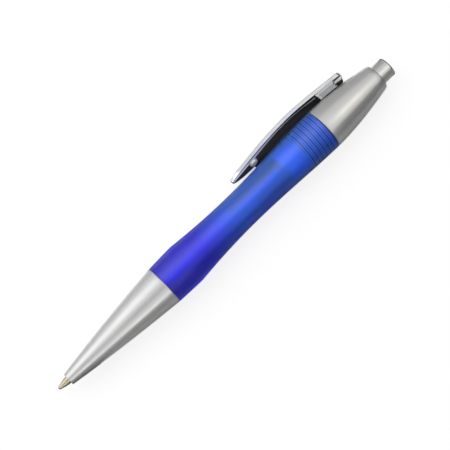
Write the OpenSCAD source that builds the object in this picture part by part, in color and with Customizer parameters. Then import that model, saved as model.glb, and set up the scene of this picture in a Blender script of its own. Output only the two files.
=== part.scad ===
// Click-action ballpoint pen, lying on its side with the point out.
// Lengths are in millimetres. Each piece is drawn upright on the pen's own
// axis, with z running from the ball to the push button and the clip towards
// +y. lay() then sets the pen down on z = 0, rolled onto the edge of its clip.

/* [Lengths] */
// Nose cone, from its mouth to the barrel
nose_l = 40.2; // [34:0.1:46]
// Barrel that shows between the nose cone and the upper shell
barrel_l = 67.8; // [60:0.1:76]
// Upper shell, from the barrel to its rim
upper_l = 23.3; // [22:0.1:26]
// How far the point stands out of the nose cone
tip_out = 4; // [3:0.1:4.6]
// How far the push button stands out while the pen writes
button_out = 4.7; // [3:0.1:7]

/* [Outline] */
// Largest radius, at the knee and where the barrel meets the upper shell
body_r = 6.96; // [6.8:0.02:7.6]
// How much slimmer the pen is where the nose cone meets the barrel
joint_drop = 0.26; // [0.1:0.02:0.5]
// How far the knee lies above the nose cone
knee_up = 9.4; // [7:0.1:12]
// How far the waist lies above the nose cone
waist_up = 32.8; // [28:0.1:38]
// How much slimmer the waist is than the knee
waist_depth = 1.22; // [0.8:0.02:1.4]
// Radius of the nose cone at its mouth
mouth_r = 2.07; // [1.9:0.01:2.4]
// How much slimmer the upper shell is at its rim than at the barrel
rim_drop = 2.54; // [2.2:0.02:2.6]
// Width of the fine groove where two shells meet
groove = 0.15; // [0.1:0.01:0.25]

/* [Walls] */
// Wall of the nose cone round the spring
nose_wall = 0.9; // [0.7:0.05:1]
// Wall of the threaded spigot that the nose cone screws onto
spigot_wall = 0.9; // [0.7:0.05:1.1]
// Length of that spigot
spigot_l = 8; // [5:0.1:10]
// Wall of the barrel round the mechanism's thread
socket_wall = 0.8; // [0.6:0.05:0.9]
// Wall of the upper shell
shell_wall = 1.1; // [0.9:0.05:1.2]
// Length of the neck in the upper shell that guides the push button
neck_l = 5.7; // [5:0.1:6.2]

/* [Clip] */
// Thickness of the clip's plate
clip_t = 1.38; // [1:0.02:1.6]
// Width of the plate along its middle
clip_w = 7.3; // [6:0.1:8]
// Width of the plate at its upper end
clip_top_w = 6.8; // [6:0.1:7.6]
// How far the clip reaches down over the barrel
clip_reach = 31; // [26:0.1:34]
// Length of the rounded taper at the clip's lower end
clip_taper = 16; // [12:0.1:20]
// Distance from the clip's upper end to the shell's rim
clip_rim_gap = 7.4; // [6.8:0.1:8.4]
// How far the highest point of the bow lies below the upper shell
bow_down = 5.5; // [3:0.1:8]
// Height of the plate over the barrel at the clip's lower end
tip_lift = 2.27; // [1.8:0.05:2.8]
// Height of the plate over the barrel at the top of the bow
bow_lift = 2.6; // [2:0.05:3.2]
// Height of the plate over the shell at the clip's upper end
end_lift = 2.05; // [1.6:0.05:2.4]
// Rounding of the plate's long edges
clip_edge = 0.42; // [0.2:0.02:0.48]
// How far the outer face of the plate is domed
clip_dome = 0.25; // [0.1:0.05:0.5]
// Length of the foot that joins the clip to the shell
foot_l = 6.8; // [5:0.1:8]
// Width of the foot
foot_w = 5.6; // [4:0.1:5.8]
// Distance from the foot to the clip's upper end
foot_back = 3.4; // [2.8:0.1:4.5]
// Hollow rounding where the foot runs into the plate
foot_fillet = 1.1; // [0.5:0.05:1.2]
// Width of the tongue that holds the foot in the shell
tongue_w = 3; // [2:0.1:3.6]
// Length of the tongue
tongue_l = 4.6; // [3:0.1:4.8]
// Height of the pip that grips the cloth
pip_h = 1; // [0.6:0.05:1.3]
// Radius of the pip at the plate
pip_r = 1.45; // [1:0.05:1.8]
// Distance from the clip's lower end to the middle of the pip
pip_up = 9; // [7:0.1:12]

/* [Push button] */
// How much slimmer the push button is than the rim round it
rim_wall = 1.11; // [1.05:0.01:1.4]
// Rounding round the push button's end
button_round = 0.6; // [0.3:0.05:0.9]
// Thickness of the push button's end
button_wall = 1.2; // [0.8:0.05:2]
// Thickness of the flange that keeps the button in the shell
flange_t = 1.2; // [0.8:0.05:1.5]
// Plunger's stem, pressed into the button, as a share of the rotor's radius
stem_share = 0.75; // [0.65:0.01:0.78]

/* [Click mechanism] */
// How far the ball hides inside the nose cone when the pen is shut
hide = 1; // [0.6:0.1:1.3]
// How far the button can be pushed past the place where it clicks
overtravel = 1.2; // [0.9:0.05:1.3]
// Lanes in the sleeve, and fins on the rotor
lanes = 4; // [3:1:5]
// Width of a lane, in degrees
lane_deg = 38; // [34:1:42]
// Wall of the sleeve between its thread and the bottom of its lanes
sleeve_wall = 1.46; // [1.4:0.02:1.6]
// Depth of the lanes
lane_depth = 0.65; // [0.5:0.05:0.75]
// How much slimmer the sleeve is where it shows in front of its thread
sleeve_step = 0.46; // [0.4:0.02:0.6]
// How far the sleeve reaches down past its thread
sleeve_front = 6.9; // [5:0.1:9]
// Turns of thread that hold the sleeve in the barrel
thread_turns = 7; // [5:1:8]
// Pitch of that thread
pitch = 1.52; // [1.3:0.02:1.6]
// Depth of that thread
thread_h = 0.4; // [0.25:0.05:0.45]
// How far the front of the rotor lies below the upper shell
rotor_down = 5.95; // [5:0.05:7]
// Length of the rotor's body
rotor_l = 5.2; // [4.6:0.1:5.6]
// Length of the rotor's fins
fin_l = 3.2; // [2.4:0.1:3.6]
// Height of the teeth on the rotor and the plunger
tooth_h = 0.9; // [0.6:0.05:1.1]
// Rotor's pin, on which the plunger is centred, as a share of its radius
pin_share = 0.36; // [0.26:0.01:0.4]
// Length of that pin
pin_l = 3.4; // [2.6:0.1:4]

/* [Refill] */
// Diameter of the ball
ball_d = 1; // [0.7:0.05:1.2]
// Radius of the point's shank
tip_r = 1.28; // [1.15:0.01:1.35]
// Length of the point's taper
taper_l = 2.8; // [2.2:0.1:3.4]
// How far behind the ball the plastic tube starts
tube_start = 12; // [10.5:0.1:13]
// Outer radius of the tube
tube_r = 1.5; // [1.45:0.01:1.6]
// Wall of the tube
tube_wall = 0.45; // [0.35:0.01:0.5]
// Length of the spigot that holds the point in the tube
barb_l = 4; // [3:0.1:5]
// Length of tube, behind the ink, that is empty
empty_l = 22; // [10:0.5:40]

/* [Spring] */
// Diameter of the spring's wire
wire_d = 0.45; // [0.3:0.01:0.55]
// Outer radius of the spring
spring_r = 2.38; // [2.25:0.01:2.42]
// Turns of the spring
spring_turns = 13; // [9:1:15]
// Length of the spring while the pen writes
spring_l = 23; // [20:0.1:25]
// Depth of the spring's seat behind the mouth of the nose cone
seat_depth = 11; // [10.6:0.1:13]

/* [Fits] */
// Running clearance round pieces that slide
run_gap = 0.08; // [0.04:0.01:0.1]
// Clearance round pieces that are pressed or screwed together
seat_gap = 0.02; // [0.01:0.01:0.04]
// Free room round the spring and behind the stops
free_gap = 0.2; // [0.15:0.01:0.25]

/* [Hidden] */

// Fineness of round shells, of small round pieces and of curved outlines
$fn = 48;
small_fn = 32;
ball_fn = 40;
curve_steps = 8;
// A cut runs this far past the surface that it goes through
cut = 1;

// Stations along the pen, from the ball to the push button
z_mouth = tip_out;
z_joint = z_mouth + nose_l;
z_knee = z_joint + knee_up;
z_waist = z_joint + waist_up;
z_upper = z_joint + barrel_l;
z_rim = z_upper + upper_l;
z_end = z_rim + button_out;

joint_r = body_r - joint_drop;
waist_r = body_r - waist_depth;
rim_r = body_r - rim_drop;
button_r = rim_r - rim_wall;

// Point at the share t of a smooth curve from a to d, pulled towards b and c
function along(a, b, c, d, t) = a*pow(1 - t, 3) + b*3*t*pow(1 - t, 2)
    + c*3*t*t*(1 - t) + d*pow(t, 3);
function curve(a, b, c, d, steps) = [for (i = [0:steps]) along(a, b, c, d, i/steps)];
// Points of an arc round centre c, from angle a0 to angle a1
function arc(c, r, a0, a1, steps) = [
    for (i = [0:steps]) let (a = a0 + (a1 - a0)*i/steps) c + r*[cos(a), sin(a)]
];
// Radius of an outline at the station z
function radius_at(outline, z) = lookup(z, [for (p = outline) [p.y, p.x]]);

// Outlines as points [radius, z]. The slopes are in radius for each mm.
mouth_round = 0.3;
mouth_slope = 0.148;
joint_slope = 0.085;
nose_pull = nose_l/3;
nose_line = curve(
    [mouth_r, z_mouth + mouth_round],
    [mouth_r + mouth_slope*nose_pull, z_mouth + nose_pull],
    [joint_r - joint_slope*nose_pull, z_joint - nose_pull],
    [joint_r, z_joint], curve_steps + 2);

// The knee is a soft crease, from which the barrel falls to its waist
knee_slope = 0.1;
knee_line = curve(
    [joint_r, z_joint], [joint_r + joint_drop/4, z_joint + knee_up/3],
    [body_r, z_knee - knee_up/3], [body_r, z_knee], 4);
fall = z_waist - z_knee;
fall_line = curve(
    [body_r, z_knee], [body_r - knee_slope*fall/3, z_knee + fall/3],
    [waist_r, z_waist - fall/3], [waist_r, z_waist], curve_steps);
rise = z_upper - z_waist;
waist_pull = rise*0.385;
upper_pull = rise*0.3;
rise_line = curve(
    [waist_r, z_waist], [waist_r, z_waist + waist_pull],
    [body_r - waist_depth/8, z_upper - upper_pull], [body_r, z_upper], curve_steps);
barrel_line = concat(knee_line, [for (i = [1:curve_steps]) fall_line[i]],
    [for (i = [1:curve_steps]) rise_line[i]]);

shell_pull = upper_l/3;
shell_slope = 0.005;
rim_slope = 0.185;
shell_line = curve(
    [body_r, z_upper], [body_r - shell_slope*shell_pull, z_upper + shell_pull],
    [rim_r + rim_slope*shell_pull, z_rim - shell_pull], [rim_r, z_rim], curve_steps);
rim_round = 0.5;

// Travel of the refill, from writing back to hidden
stroke = tip_out + hide;

// Inside of the nose cone
mouth_bore = tip_r + run_gap;
land_l = 3;
guide_bore = tube_r + free_gap;
z_seat = z_mouth + seat_depth;
spring_bore = spring_r + free_gap;
z_spigot = z_joint - spigot_l;
spigot_bore = radius_at(nose_line, z_spigot) - nose_wall;

// Inside of the barrel
spigot_r = spigot_bore - seat_gap;
bore_r = spigot_r - spigot_wall;
thread_l = thread_turns*pitch;
z_thread = z_upper - thread_l;
socket_r = radius_at(barrel_line, z_thread) - socket_wall;
thread_r = socket_r - seat_gap;
thread_root = thread_r - thread_h;
z_sleeve = z_thread - sleeve_front;
sleeve_r = thread_root - sleeve_step;
sleeve_bore = sleeve_r + free_gap;

// Radii of the click mechanism, from the sleeve's wall inwards
lane_r = thread_root - sleeve_wall;
rib_r = lane_r - lane_depth;
fin_r = lane_r - free_gap;
rotor_r = rib_r - free_gap;
stem_r = rotor_r*stem_share;
pin_r = rotor_r*pin_share;

// Push button, flange and the shoulder that stops it
z_shoulder = z_rim - neck_l;
flange_bore = radius_at(shell_line, z_shoulder) - shell_wall;
flange_r = flange_bore - free_gap;
z_flange_top = z_shoulder - stroke - free_gap;
z_flange = z_flange_top - flange_t;
neck_r = button_r + run_gap;
stem_bore = stem_r + seat_gap;

// Sleeve of the click mechanism
z_sleeve_end = z_flange - overtravel - 3*free_gap;
head_bore = radius_at(shell_line, z_sleeve_end) - shell_wall;
head_r = head_bore - seat_gap;
fin_w = 2*fin_r*sin(lane_deg/2) - 4*free_gap;
ramp_h = 0.8;

// Rotor: its front is a socket that takes the end of the tube
z_rotor = z_upper - rotor_down;
socket_l = 1;
z_crown = z_rotor + rotor_l;
z_tooth_top = z_crown + tooth_h;
z_fin = z_crown - fin_l;
// The ribs of the sleeve start just behind the fins of the rotor
z_rib = z_crown + ramp_h + free_gap/2;

// Plunger: its teeth face those of the rotor, just clear of them
teeth = 2*lanes;
tooth_land = 0.15;
z_plunger = z_tooth_top + free_gap/2;
z_plunger_body = z_plunger + tooth_h;
plunger_fin_l = 2.6;
z_stem_top = z_end - button_wall - seat_gap;

// Refill
ball_r = ball_d/2;
tube_bore = tube_r - tube_wall;
z_tube_end = z_rotor + socket_l;
z_barb_end = tube_start + barb_l;
lip_z = 0.34*ball_d;
lip_wall = 0.07;
lip_r = ball_r + lip_wall;
channel_r = 0.4;
z_ears = z_seat + spring_l;
ear_l = 1.6;
ear_t = 0.8;

// Spring
wire_r = wire_d/2;
coil_r = spring_r - wire_r;
closed_turns = 1.5;
wire_sides = 6;
turn_steps = 14;

// Clip: stations of its lower end, bow and upper end
z_clip_low = z_upper - clip_reach;
z_bow = z_upper - bow_down;
z_clip_high = z_rim - clip_rim_gap;
low_r = radius_at(barrel_line, z_clip_low) + tip_lift;
bow_r = radius_at(barrel_line, z_bow) + bow_lift;
high_r = radius_at(shell_line, z_clip_high) + end_lift;
low_pull = (z_bow - z_clip_low)/3;
high_pull = (z_clip_high - z_bow)/3;
low_slope = 0.012;
high_slope = 0.085;
clip_steps = 12;
// Inner face of the plate, as points [radius, z]
clip_low_line = curve(
    [low_r, z_clip_low], [low_r + low_slope*low_pull, z_clip_low + low_pull],
    [bow_r, z_bow - low_pull], [bow_r, z_bow], clip_steps);
clip_high_line = curve(
    [bow_r, z_bow], [bow_r, z_bow + high_pull],
    [high_r + high_slope*high_pull, z_clip_high - high_pull], [high_r, z_clip_high],
    clip_steps);
clip_line = concat(clip_low_line, [for (i = [1:clip_steps]) clip_high_line[i]]);
// Rounded corners of the upper end, and width of the blunt lower end
end_round = 1.4;
blunt_w = 1.5;
// Stations of the plate's sections, closer where its ends are rounded
tip_zone = 3;
plate_low = z_clip_low + tip_zone;
plate_high = z_clip_high - end_round;
plate_steps = 17;
clip_stations = concat(
    [for (s = [0, 0.02, 0.07, 0.15, 0.27, 0.43, 0.67]) z_clip_low + s*tip_zone],
    [for (i = [0:plate_steps]) plate_low + (plate_high - plate_low)*i/plate_steps],
    [for (a = [20:20:80]) z_clip_high - end_round*(1 - sin(a))],
    [z_clip_high]);
// Half the width of the plate at the station z
function taper_half(z) = let (s = max(0, clip_taper - (z - z_clip_low))/clip_taper)
    max(clip_w/2*sqrt(1 - s*s), blunt_w/2);
function clip_half(z) = let (
        side = z < z_bow ? taper_half(z)
            : clip_w/2 + (clip_top_w - clip_w)/2*(z - z_bow)/(z_clip_high - z_bow),
        s = max(0, z - plate_high)/end_round)
    side - end_round*(1 - sqrt(max(0, 1 - s*s)));
// Inner corners of the plate are rounded less than its outer ones
inner_edge = clip_edge/2;
// Section of the plate at the station z, as points [x, y] round its edge
function clip_section(z) = let (
        h = clip_half(z), r = radius_at(clip_line, z), o = r + clip_t,
        e = min(clip_edge, h/2), i = min(inner_edge, h/2))
    concat(
        arc([h - i, r + i], i, -90, 0, 2),
        arc([h - e, o - e], e, 0, 90, 4),
        [[0, o + clip_dome*min(1, h/clip_w*2)]],
        arc([-h + e, o - e], e, 90, 180, 4),
        arc([-h + i, r + i], i, 180, 270, 2));

// Foot of the clip
z_foot_high = z_clip_high - foot_back;
z_foot_low = z_foot_high - foot_l;
z_tongue = (z_foot_low + z_foot_high)/2;
foot_bottom = radius_at(shell_line, z_foot_high) - clip_t;
// Inner face of the plate where the hollow roundings of the foot run out
under_low = radius_at(clip_line, z_foot_low - foot_fillet);
under_high = radius_at(clip_line, z_foot_high + foot_fillet);
tongue_bottom = head_bore + seat_gap;
tongue_top = radius_at(shell_line, z_tongue) + clip_t/2;

// Roll of the pen about its axis at which an edge of the clip meets the floor
function roll_at(z) = let (
        b = radius_at(clip_line, z) + clip_t - clip_edge, a = clip_half(z) - clip_edge)
    asin(min(1, (body_r - clip_edge)/norm([a, b]))) - atan2(a, b);
roll_stations = [for (z = clip_stations)
    if (z > z_clip_low + clip_taper/2 && z < plate_high) z];
roll = min([for (z = roll_stations) roll_at(z)]);
// Farthest reach of the clip to the side, which sets the middle of the box
side_reach = max([for (z = roll_stations)
    (radius_at(clip_line, z) + clip_t - clip_edge)*cos(roll)
    + (clip_half(z) - clip_edge)*sin(roll) + clip_edge]);
mid_y = (side_reach - body_r)/2;

// Lays the upright pen on the floor, the ball towards -X
module lay() {
    translate([-z_end/2, -mid_y, body_r]) rotate([-roll, 0, 0]) rotate([0, 90, 0])
        children();
}

// Solid turned from points [radius, z]
module turned(path) {
    rotate_extrude(convexity = 8) polygon(path);
}

// Prism over an outline of [tangent, z], reaching out to radius r
module spoke(outline, r, turn) {
    rotate([0, 0, turn]) rotate([90, 0, 90]) linear_extrude(r) polygon(outline);
}

// Satin silver cone with the mouth, the spring's seat and the threaded bore
module nose_cone() {
    chamber = [for (i = [0:6]) let (z = z_spigot + (z_seat - z_spigot)*i/6)
        [max(spring_bore, radius_at(nose_line, z) - nose_wall), z]];
    color([0.78, 0.78, 0.8]) lay() turned(concat(
        [[mouth_bore, z_mouth]],
        arc([mouth_r - mouth_round, z_mouth + mouth_round], mouth_round, -90, -30, 2),
        [for (i = [0:curve_steps + 1]) nose_line[i]],
        [[joint_r - groove*joint_slope, z_joint - groove], [joint_r - groove, z_joint],
            [spigot_bore, z_joint]],
        chamber,
        [[guide_bore, z_seat], [guide_bore, z_mouth + land_l + free_gap],
            [mouth_bore, z_mouth + land_l]]));
}

// Translucent blue tube with a spigot below and a stepped socket above
module barrel() {
    color([0.1, 0.2, 0.8, 0.7]) lay() turned(concat(
        [[bore_r, z_spigot + free_gap], [spigot_r - groove, z_spigot + free_gap],
            [spigot_r, z_spigot + free_gap + groove], [spigot_r, z_joint],
            [joint_r - groove, z_joint], [joint_r, z_joint + groove]],
        [for (i = [1:len(barrel_line) - 2]) barrel_line[i]],
        [[body_r - groove/8, z_upper - groove], [body_r - groove, z_upper],
            [socket_r, z_upper], [socket_r, z_thread - free_gap],
            [sleeve_bore, z_thread - free_gap], [sleeve_bore, z_sleeve - free_gap],
            [bore_r, z_sleeve - free_gap - (sleeve_bore - bore_r)]]));
}

// Satin silver shell that narrows to the neck, with a slot for the clip's foot
module upper_shell() {
    color([0.76, 0.76, 0.77]) lay() difference() {
        turned(concat(
            [[head_bore, z_upper], [body_r - groove, z_upper], [body_r, z_upper + groove]],
            [for (i = [1:curve_steps - 1]) shell_line[i]],
            arc([rim_r - rim_round, z_rim - rim_round], rim_round, 0, 90, 4),
            [[neck_r, z_rim], [neck_r, z_shoulder], [flange_bore, z_shoulder],
                [flange_bore, z_sleeve_end + free_gap], [head_bore, z_sleeve_end + free_gap]]));
        translate([-tongue_w/2 - seat_gap, 0, z_tongue - tongue_l/2 - seat_gap])
            cube([tongue_w + 2*seat_gap, body_r + cut, tongue_l + 2*seat_gap]);
    }
}

// Skin swept through the sections of the plate
module clip_plate() {
    n = len(clip_section(z_bow));
    last = len(clip_stations) - 1;
    points = [for (z = clip_stations) for (p = clip_section(z)) [p.x, p.y, z]];
    sides = [for (k = [0:last - 1]) for (i = [0:n - 1]) let (j = (i + 1)%n)
        each [[k*n + i, (k + 1)*n + i, (k + 1)*n + j], [k*n + i, (k + 1)*n + j, k*n + j]]];
    polyhedron(points = points, convexity = 4, faces = concat(
        [[for (i = [0:n - 1]) i]], sides, [[for (i = [n - 1:-1:0]) last*n + i]]));
}

// Block between plate and shell, hollowed where it runs into the plate
module clip_foot() {
    low = z_foot_low - foot_fillet;
    high = z_foot_high + foot_fillet;
    difference() {
        translate([foot_w/2, 0, 0]) rotate([0, -90, 0]) linear_extrude(foot_w) polygon(concat(
            [[z_foot_low, foot_bottom]],
            arc([low, under_low - foot_fillet], foot_fillet, 0, 90, 4),
            [[low, under_low + clip_t/2], [high, under_high + clip_t/2]],
            arc([high, under_high - foot_fillet], foot_fillet, 90, 180, 4),
            [[z_foot_high, foot_bottom]]));
        turned(concat([[0, z_upper]], [for (p = shell_line) [p.x + seat_gap, p.y]],
            [[0, z_rim]]));
    }
}

// Bright bowed plate with its foot, its tongue and the pip that grips
module clip() {
    z_pip = z_clip_low + pip_up;
    pip_base = radius_at(clip_line, z_pip);
    color([0.85, 0.86, 0.88]) lay() union() {
        clip_plate();
        clip_foot();
        translate([-tongue_w/2, tongue_bottom, z_tongue - tongue_l/2])
            cube([tongue_w, tongue_top - tongue_bottom, tongue_l]);
        translate([0, pip_base + clip_t/2, z_pip]) rotate([90, 0, 0])
            rotate_extrude($fn = small_fn) polygon(concat(
                [[0, 0], [pip_r, 0], [pip_r, clip_t/2]],
                arc([pip_r - pip_h, clip_t/2], pip_h, 0, 90, 4), [[0, clip_t/2 + pip_h]]));
    }
}

// Silver cap of the mechanism, kept in by its flange
module push_button() {
    color([0.8, 0.8, 0.82]) lay() turned(concat(
        [[stem_bore, z_flange], [flange_r, z_flange], [flange_r, z_flange_top],
            [button_r, z_flange_top]],
        arc([button_r - button_round, z_end - button_round], button_round, 0, 90, 5),
        [[0, z_end], [0, z_end - button_wall], [stem_bore, z_end - button_wall]]));
}

// Outlines of the teeth, as points [tangent, z]
tooth_half = (rotor_r - tooth_land)*sin(180/teeth);
rotor_gap = [[-tooth_half, z_tooth_top], [0, z_crown], [tooth_half, z_tooth_top],
    [tooth_half, z_tooth_top + cut], [-tooth_half, z_tooth_top + cut]];
plunger_gap = [[-tooth_half, z_plunger], [0, z_plunger_body], [tooth_half, z_plunger],
    [tooth_half, z_plunger - cut], [-tooth_half, z_plunger - cut]];
// Outline of a fin whose rear end is a ramp
fin_side = [[-fin_w/2, z_fin], [fin_w/2, z_fin], [fin_w/2, z_crown],
    [-fin_w/2, z_crown + ramp_h]];

// Toothed cam with fins, which turns by one step at each click
module cam_rotor() {
    color([0.9, 0.9, 0.86]) lay() union() {
        difference() {
            union() {
                cylinder_between(rotor_r, z_rotor, z_tooth_top);
                intersection() {
                    cylinder_between(fin_r, z_fin, z_crown + ramp_h);
                    for (i = [0:lanes - 1]) spoke(fin_side, fin_r + cut, i*360/lanes);
                }
            }
            for (i = [0:teeth - 1]) spoke(rotor_gap, rotor_r + cut, (i + 0.5)*360/teeth);
            cylinder_between(pin_r + free_gap, z_crown, z_tooth_top + cut);
            cylinder_between(tube_r + seat_gap, z_rotor - cut, z_tube_end);
        }
        cylinder_between(pin_r, z_crown - cut, z_tooth_top + pin_l);
    }
}

// Stem under the button, with a toothed crown and fins that run in the lanes
module plunger() {
    z_fins = z_plunger_body + 2*free_gap;
    color([0.86, 0.86, 0.84]) lay() difference() {
        union() {
            cylinder_between(rotor_r, z_plunger, z_fins + plunger_fin_l);
            cylinder_between(stem_r, z_fins, z_stem_top);
            intersection() {
                cylinder_between(fin_r, z_fins, z_fins + plunger_fin_l);
                for (i = [0:lanes - 1]) rotate([0, 0, i*360/lanes])
                    translate([0, -fin_w/2, z_fins]) cube([fin_r + cut, fin_w, plunger_fin_l]);
            }
        }
        for (i = [0:teeth - 1]) spoke(plunger_gap, rotor_r + cut, i*360/teeth);
        cylinder_between(pin_r + run_gap, z_plunger - cut, z_tooth_top + pin_l + free_gap);
    }
}

module cylinder_between(r, z0, z1) {
    translate([0, 0, z0]) cylinder(h = z1 - z0, r = r, $fn = small_fn);
}

// Fixed sleeve: a threaded body whose bore has ribs with lanes between them
module cam_sleeve() {
    flat = pitch/5;
    ramp = pitch/4;
    rings = [for (i = [0:thread_turns - 1]) let (z = z_thread + i*pitch)
        each [[thread_root, z], [thread_root, z + flat], [thread_r, z + flat + ramp],
            [thread_r, z + 2*flat + ramp]]];
    rib_half = rib_r*sin((360/lanes - lane_deg)/2);
    z_rib_end = z_sleeve_end - free_gap;
    rib_side = [[-rib_half, z_rib + ramp_h], [rib_half, z_rib], [rib_half, z_rib_end],
        [-rib_half, z_rib_end]];
    color([0.55, 0.62, 0.85]) lay() union() {
        turned(concat(
            [[lane_r, z_sleeve], [sleeve_r - groove, z_sleeve], [sleeve_r, z_sleeve + groove],
                [sleeve_r, z_thread]],
            rings,
            [[thread_root, z_upper], [head_r, z_upper], [head_r, z_sleeve_end],
                [lane_r, z_sleeve_end]]));
        // Ribs, rooted in the wall, each with a ramp on its front end
        intersection() {
            difference() {
                cylinder_between(lane_r + free_gap, z_rib - cut, z_sleeve_end);
                cylinder_between(rib_r, z_rib - 2*cut, z_sleeve_end + cut);
            }
            for (i = [0:lanes - 1]) spoke(rib_side, lane_r + cut, (i + 0.5)*360/lanes);
        }
    }
}

// Coil spring with closed ends, drawn at its length while the pen writes
module return_spring() {
    rings = spring_turns*turn_steps;
    closed_l = closed_turns*(wire_d + 2*seat_gap);
    open_l = spring_l - wire_d - 2*closed_l;
    open_turns = spring_turns - 2*closed_turns;
    function rise_at(turn) = turn < closed_turns ? turn/closed_turns*closed_l
        : turn > spring_turns - closed_turns
            ? closed_l + open_l + (turn - closed_turns - open_turns)/closed_turns*closed_l
        : closed_l + (turn - closed_turns)/open_turns*open_l;
    points = [for (k = [0:rings]) let (a = 360*k/turn_steps, z = z_seat + wire_r
            + rise_at(k/turn_steps))
        for (i = [0:wire_sides - 1]) let (b = 360*i/wire_sides, r = coil_r + wire_r*cos(b))
            [r*cos(a), r*sin(a), z + wire_r*sin(b)]];
    sides = [for (k = [0:rings - 1]) for (i = [0:wire_sides - 1]) let (j = (i + 1)%wire_sides)
        each [[k*wire_sides + i, (k + 1)*wire_sides + i, (k + 1)*wire_sides + j],
            [k*wire_sides + i, (k + 1)*wire_sides + j, k*wire_sides + j]]];
    color([0.6, 0.6, 0.62]) lay() polyhedron(points = points, convexity = 10, faces = concat(
        [[for (i = [0:wire_sides - 1]) i]], sides,
        [[for (i = [wire_sides - 1:-1:0]) rings*wire_sides + i]]));
}

// Plastic ink tube with the two ears that the spring pushes on
module refill_tube() {
    color([0.88, 0.9, 0.92, 0.6]) lay() difference() {
        union() {
            cylinder_between(tube_r, tube_start, z_tube_end);
            translate([-ear_t/2, -spring_r, z_ears]) cube([ear_t, 2*spring_r, ear_l]);
        }
        cylinder_between(tube_bore, tube_start - cut, z_tube_end + cut);
    }
}

// Nickel-silver point with the ball's socket, the ink channel and a spigot
module refill_tip() {
    color([0.78, 0.72, 0.58]) lay() difference() {
        rotate_extrude($fn = small_fn) polygon([
            [0, lip_z], [lip_r, lip_z], [tip_r, lip_z + taper_l], [tip_r, tube_start],
            [tube_bore, tube_start], [tube_bore, z_barb_end], [0, z_barb_end]]);
        translate([0, 0, ball_r]) sphere(ball_r + seat_gap, $fn = ball_fn);
        cylinder_between(channel_r, ball_r, z_barb_end + cut);
    }
}

// Ball that rolls in the point
module tip_ball() {
    color([0.5, 0.5, 0.52]) lay() translate([0, 0, ball_r]) sphere(ball_r, $fn = ball_fn);
}

// Ink in the tube
module ink() {
    color([0.05, 0.08, 0.35]) lay() cylinder_between(tube_bore - seat_gap,
        z_barb_end + seat_gap, z_tube_end - empty_l);
}

nose_cone();
barrel();
upper_shell();
clip();
push_button();
plunger();
cam_rotor();
cam_sleeve();
return_spring();
refill_tube();
refill_tip();
tip_ball();
ink();
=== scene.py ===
# %% [markdown]
# # A click-action ballpoint pen, dressed for its portrait
# The pen lies on a white table with its point out. Its solids come packed from
# the CAD source as a fixed frame. This lesson dresses them: each visible piece is
# built again as a finer mesh in the same place, every surface gets a procedural
# finish, and a small photo studio is set up round the pen.
#
# The pen's sizes are written in millimetres on its own axis, as a maker reads them
# off a drawing, and turned into Blender's metres in one place only. The studio round
# it is laid out in metres.

# %% Load the fixed frame
import math

import bmesh
import bpy
from mathutils import Matrix, Vector


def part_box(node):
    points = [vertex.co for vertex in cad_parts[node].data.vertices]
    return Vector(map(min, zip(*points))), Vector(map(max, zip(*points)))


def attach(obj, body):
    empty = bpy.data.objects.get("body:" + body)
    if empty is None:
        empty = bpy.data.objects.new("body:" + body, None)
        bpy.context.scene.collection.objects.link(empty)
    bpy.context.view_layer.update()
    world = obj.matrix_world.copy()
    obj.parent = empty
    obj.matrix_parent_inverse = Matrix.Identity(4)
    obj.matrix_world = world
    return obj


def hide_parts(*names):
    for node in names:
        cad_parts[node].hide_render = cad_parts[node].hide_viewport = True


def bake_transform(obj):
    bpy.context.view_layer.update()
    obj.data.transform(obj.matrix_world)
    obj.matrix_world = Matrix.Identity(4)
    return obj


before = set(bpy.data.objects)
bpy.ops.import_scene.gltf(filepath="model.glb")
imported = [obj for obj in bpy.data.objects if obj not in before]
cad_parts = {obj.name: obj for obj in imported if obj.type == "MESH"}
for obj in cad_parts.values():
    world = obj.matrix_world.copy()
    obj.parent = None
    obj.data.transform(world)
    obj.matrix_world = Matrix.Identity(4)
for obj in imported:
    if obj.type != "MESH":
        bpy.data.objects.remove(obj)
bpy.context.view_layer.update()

print("nodes:", sorted(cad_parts))

# %% [markdown]
# ## Where the pen lies
# The pen touches the table with the widest part of its barrel and with one edge of
# its clip, so it is rolled about its own axis. A point of the drawing is given as
# (across, out, along): across the clip, out towards the clip, and along the pen from
# the ball to the push button. The ball's own solid tells where the axis lies, so
# nothing is fitted by eye.

# %% From the drawing to the table
MM = 0.001
OVERALL = 140.0
ROLL = math.radians(19.74)

ball_low, ball_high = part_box("tip_ball")
ball_middle = (ball_low + ball_high) / 2
AXIS_Y = ball_middle.y
AXIS_Z = ball_middle.z


def on_table(across, out, along):
    """A point of the drawing, in millimetres, as a point of the scene in metres."""
    y = out * math.cos(ROLL) - across * math.sin(ROLL)
    z = -out * math.sin(ROLL) - across * math.cos(ROLL)
    return Vector(((along - OVERALL / 2) * MM, AXIS_Y + y * MM, AXIS_Z + z * MM))


print("the axis lies", round(AXIS_Z * 1000, 2), "mm above the table")

# %% [markdown]
# ## The outline of the pen
# Every shell of the pen is a turned shape, so its whole form is one line: the radius
# at each station. Smooth curves with a start, two pulls and an end give the slender
# nose, the soft knee, the waist and the tapered head. The same numbers shape the
# solids, so the fine meshes lie closely on them.

# %% Outlines as lists of (radius, station)
def curve(start, leave, arrive, end, steps):
    """Smooth curve from start to end, pulled towards the points leave and arrive."""
    points = []
    for i in range(steps + 1):
        t = i / steps
        weights = ((1 - t) ** 3, 3 * t * (1 - t) ** 2, 3 * t * t * (1 - t), t**3)
        points.append(tuple(
            sum(w * p[k] for w, p in zip(weights, (start, leave, arrive, end)))
            for k in range(2)))
    return points


def arc(across, along, size, degrees):
    """Points of a round corner about its middle, at the given angles."""
    turns = [math.radians(d) for d in degrees]
    return [(across + size * math.cos(a), along + size * math.sin(a)) for a in turns]


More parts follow.
